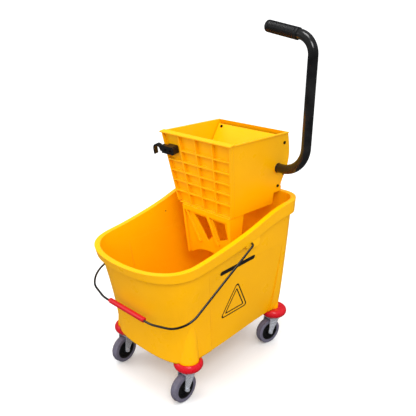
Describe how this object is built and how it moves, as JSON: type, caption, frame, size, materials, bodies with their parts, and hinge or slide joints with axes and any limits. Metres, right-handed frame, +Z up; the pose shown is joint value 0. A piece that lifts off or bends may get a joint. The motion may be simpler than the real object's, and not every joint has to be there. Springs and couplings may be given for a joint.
{
  "type": "mop bucket with side-press wringer",
  "caption": "Wheeled plastic mop bucket with a low round front, rolled lip and bail, and a hook-on side-press wringer worked by a bent tube handle.",
  "frame": {"origin": "on the floor, on the bucket's mid plane, midway between the front and rear caster stems", "axes": "+Z up, -Y towards the low round front, +X towards the side where the handle leaves the wringer"},
  "size_m": [0.4054, 0.5172, 0.9113],
  "materials": {
    "yellow_plastic": "moulded polypropylene, satin gloss",
    "red_rubber": "soft glossy rubber",
    "red_grip": "moulded, satin",
    "grey_tyre": "non-marking grey rubber",
    "black_plastic": "moulded, satin",
    "black_nylon": "moulded nylon",
    "grey_nylon": "natural nylon",
    "zinc_steel": "bright zinc plate",
    "bright_steel": "turned",
    "spring_steel": "oiled wire",
    "black_wire": "coated wire",
    "black_tube": "gloss powder coat",
    "black_grip": "textured rubber",
    "black_screw": "black oxide"
  },
  "bodies": {
    "tub": {"bucket": "yellow_plastic", "stem_sockets": "grey_nylon", "stem_front_right": "zinc_steel", "bumper_front_right": "red_rubber", "stem_front_left": "zinc_steel", "bumper_front_left": "red_rubber", "stem_rear_right": "zinc_steel", "bumper_rear_right": "red_rubber", "stem_rear_left": "zinc_steel", "bumper_rear_left": "red_rubber"},
    "swivel_front_right": {"fork_front_right": "zinc_steel", "swivel_cover_front_right": "black_plastic", "axle_bolt_front_right": "zinc_steel"},
    "wheel_front_right": {"tyre_front_right": "grey_tyre", "hub_front_right": "black_plastic"},
    "swivel_front_left": {"fork_front_left": "zinc_steel", "swivel_cover_front_left": "black_plastic", "axle_bolt_front_left": "zinc_steel"},
    "wheel_front_left": {"tyre_front_left": "grey_tyre", "hub_front_left": "black_plastic"},
    "swivel_rear_right": {"fork_rear_right": "zinc_steel", "swivel_cover_rear_right": "black_plastic", "axle_bolt_rear_right": "zinc_steel"},
    "wheel_rear_right": {"tyre_rear_right": "grey_tyre", "hub_rear_right": "black_plastic"},
    "swivel_rear_left": {"fork_rear_left": "zinc_steel", "swivel_cover_rear_left": "black_plastic", "axle_bolt_rear_left": "zinc_steel"},
    "wheel_rear_left": {"tyre_rear_left": "grey_tyre", "hub_rear_left": "black_plastic"},
    "bail": {"bail_wire": "black_wire", "bail_grip": "red_grip"},
    "wringer": {"wringer_housing": "yellow_plastic", "ribbed_front_wall": "yellow_plastic", "lower_skirt": "yellow_plastic", "rear_cover": "yellow_plastic", "rim_hooks": "yellow_plastic", "hinge_pin": "bright_steel", "shaft_bush_left": "black_nylon", "shaft_bush_right": "black_nylon", "handle_clip": "black_plastic", "clip_screws": "black_screw", "housing_screws": "black_screw"},
    "press": {"press_plate": "yellow_plastic", "plate_screws": "black_screw", "gear_sector_left": "black_nylon", "gear_sector_right": "black_nylon"},
    "handle": {"handle_shaft": "bright_steel", "pinion_left": "black_nylon", "pinion_right": "black_nylon", "return_spring": "spring_steel", "handle_tube": "black_tube", "handle_grip": "black_grip", "handle_roll_pin": "bright_steel"}
  },
  "joints": [
    {"name": "swivel_front_right", "type": "hinge", "parent": "tub", "child": "swivel_front_right", "pos_m": [0.122, -0.178, 0.08], "axis": [0, 0, 1], "continuous": true},
    {"name": "wheel_front_right", "type": "hinge", "parent": "swivel_front_right", "child": "wheel_front_right", "pos_m": [0.1227, -0.19799, 0.038], "axis": [0.9994, 0.0349, 0], "continuous": true},
    {"name": "swivel_front_left", "type": "hinge", "parent": "tub", "child": "swivel_front_left", "pos_m": [-0.122, -0.178, 0.08], "axis": [0, 0, 1], "continuous": true},
    {"name": "wheel_front_left", "type": "hinge", "parent": "swivel_front_left", "child": "wheel_front_left", "pos_m": [-0.12061, -0.19795, 0.038], "axis": [0.9976, 0.0698, 0], "continuous": true},
    {"name": "swivel_rear_right", "type": "hinge", "parent": "tub", "child": "swivel_rear_right", "pos_m": [0.111, 0.178, 0.08], "axis": [0, 0, 1], "continuous": true},
    {"name": "wheel_rear_right", "type": "hinge", "parent": "swivel_rear_right", "child": "wheel_rear_right", "pos_m": [0.10718, 0.15837, 0.038], "axis": [0.9816, -0.1908, 0], "continuous": true},
    {"name": "swivel_rear_left", "type": "hinge", "parent": "tub", "child": "swivel_rear_left", "pos_m": [-0.111, 0.178, 0.08], "axis": [0, 0, 1], "continuous": true},
    {"name": "wheel_rear_left", "type": "hinge", "parent": "swivel_rear_left", "child": "wheel_rear_left", "pos_m": [-0.11309, 0.15811, 0.038], "axis": [0.9945, -0.1045, 0], "continuous": true},
    {"name": "bail_swing", "type": "hinge", "parent": "tub", "child": "bail", "pos_m": [0, 0, 0.386], "axis": [-1, 0, 0], "range_deg": [0, 104]},
    {"name": "wringer_lift", "type": "slide", "parent": "tub", "child": "wringer", "axis": [0, 0, 1], "range_m": [0, 0.25]},
    {"name": "handle_pull", "type": "hinge", "parent": "wringer", "child": "handle", "pos_m": [0, 0.165, 0.537], "axis": [-1, 0, 0], "range_deg": [0, 110], "stiffness_Nm_per_rad": 2, "springref_deg": -20.05},
    {"name": "press_swing", "type": "hinge", "parent": "wringer", "child": "press", "pos_m": [0, 0.11, 0.4511], "axis": [1, 0, 0], "range_deg": [0, 34.05]}
  ],
  "couplings": [
    {"joint": "press_swing", "follows": "handle_pull", "ratio": 0.30769}
  ]
}
